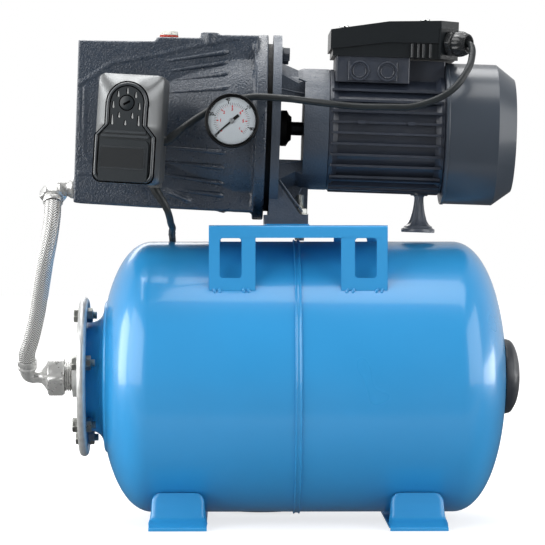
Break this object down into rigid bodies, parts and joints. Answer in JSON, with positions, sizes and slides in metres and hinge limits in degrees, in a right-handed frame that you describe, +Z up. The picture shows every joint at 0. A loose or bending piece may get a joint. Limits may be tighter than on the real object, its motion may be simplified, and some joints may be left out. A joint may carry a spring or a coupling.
{
  "type": "booster pump set",
  "caption": "Self-priming jet pump and motor on a platform over a horizontal blue pressure tank, with a pressure switch, a gauge, a braided hose and a mains cord.",
  "frame": {"origin": "middle of the feet's four floor holes, on the floor", "axes": "+Z up, +X from the hose end to the fan end, -Y the front with the gauge and switch"},
  "size_m": [0.5162, 0.313, 0.5133],
  "materials": {
    "blue_paint": "smooth semi-gloss powder coat",
    "blue_sheet": "smooth semi-gloss powder coat on pressed sheet",
    "zinc_plate": "galvanised, satin",
    "zinc_bolts": "zinc plated",
    "dark_steel": "painted with the casting",
    "membrane_rubber": "matte",
    "valve_brass": "machined",
    "cap_plastic": "matte black",
    "casting": "fine orange-peel paint on a casting",
    "motor_paint": "semi-gloss paint on aluminium",
    "cover_paint": "semi-gloss paint on sheet steel",
    "seal_black": "matte black",
    "white_plastic": "satin white",
    "red_gasket": "matte red fibre",
    "black_plastic": "fine grained black",
    "impeller_brass": "cast",
    "seal_carbon": "carbon, matte",
    "seal_ceramic": "ceramic, lapped",
    "black_rubber": "matte black",
    "shaft_steel": "ground",
    "core_steel": "stacked sheet",
    "winding_copper": "varnished copper wire",
    "gland_plastic": "satin black",
    "foot_plastic": "satin dark grey",
    "switch_plastic": "satin dark grey plastic",
    "gauge_black": "gloss black",
    "dial_white": "white enamel with a printed scale",
    "gauge_glass": "clear",
    "steel_braid": "woven steel wire",
    "cord_rubber": "matte black"
  },
  "bodies": {
    "pump_set": {"tank_shell_left": "blue_paint", "tank_shell_right": "blue_paint", "tank_weld_seam": "blue_paint", "tank_flange": "zinc_plate", "flange_fasteners": "zinc_bolts", "tank_membrane": "membrane_rubber", "air_valve": "valve_brass", "tank_foot_left": "blue_sheet", "tank_foot_right": "blue_sheet", "pump_platform": "blue_sheet", "pump_casing": "casting", "seal_plate": "seal_black", "motor_bracket": "casting", "casing_bolts": "dark_steel", "platform_fasteners": "zinc_bolts", "priming_gasket": "red_gasket", "drain_plug": "zinc_bolts", "ejector": "white_plastic", "diffuser": "black_plastic", "seal_seat": "seal_ceramic", "stator_core": "core_steel", "stator_windings": "winding_copper", "motor_housing": "motor_paint", "shaft_bearings": "shaft_steel", "rear_shield": "motor_paint", "tie_bolts": "zinc_bolts", "fan_cover": "cover_paint", "terminal_box": "black_plastic", "terminal_lid": "black_plastic", "lid_screws": "zinc_bolts", "capacitor": "white_plastic", "cable_gland": "gland_plastic", "gland_nut": "gland_plastic", "motor_foot": "foot_plastic", "switch_base": "switch_plastic", "switch_cover": "switch_plastic", "cover_screw": "switch_plastic", "switch_coupling": "valve_brass", "range_spring": "shaft_steel", "gauge_case": "gauge_black", "gauge_dial": "dial_white", "gauge_glass": "gauge_glass", "upper_elbow": "zinc_plate", "braided_hose": "steel_braid", "lower_elbow": "zinc_plate", "motor_lead": "cord_rubber", "mains_cord": "cord_rubber", "mains_coil": "cord_rubber", "mains_plug": "cord_rubber"},
    "rotor": {"motor_shaft": "shaft_steel", "rotor_core": "core_steel", "impeller": "impeller_brass", "seal_ring": "seal_carbon", "water_slinger": "black_rubber", "cooling_fan": "black_plastic"},
    "pointer": {"gauge_pointer": "gauge_black"},
    "priming": {"priming_plug": "white_plastic"},
    "cap": {"valve_cap": "cap_plastic"},
    "lever": {"contact_lever": "shaft_steel"},
    "plunger": {"switch_plunger": "shaft_steel"}
  },
  "joints": [
    {"name": "shaft_spin", "type": "hinge", "parent": "pump_set", "child": "rotor", "pos_m": [0, 0, 0.4027], "axis": [0.9995, 0, -0.0332], "continuous": true},
    {"name": "pointer_turn", "type": "hinge", "parent": "pump_set", "child": "pointer", "pos_m": [-0.06602, -0.134, 0.40609], "axis": [0, 1, 0], "range_deg": [0, 270], "stiffness_Nm_per_rad": 0.002},
    {"name": "priming_plug_lift", "type": "slide", "parent": "pump_set", "child": "priming", "axis": [0.0332, 0, 0.9995], "range_m": [0, 0.018]},
    {"name": "valve_cap_pull", "type": "slide", "parent": "pump_set", "child": "cap", "axis": [1, 0, 0], "range_m": [0, 0.02]},
    {"name": "contact_lever_turn", "type": "hinge", "parent": "pump_set", "child": "lever", "pos_m": [-0.16343, -0.11372, 0.41497], "axis": [-0.983, 0.1733, 0.061], "range_deg": [0, 3], "stiffness_Nm_per_rad": 0.2},
    {"name": "plunger_push", "type": "slide", "parent": "pump_set", "child": "plunger", "axis": [-0.1736, -0.9848, 0], "range_m": [0, 0.0022]}
  ],
  "couplings": [
    {"joint": "plunger_push", "follows": "contact_lever_turn", "m_per_rad": 0.041}
  ]
}
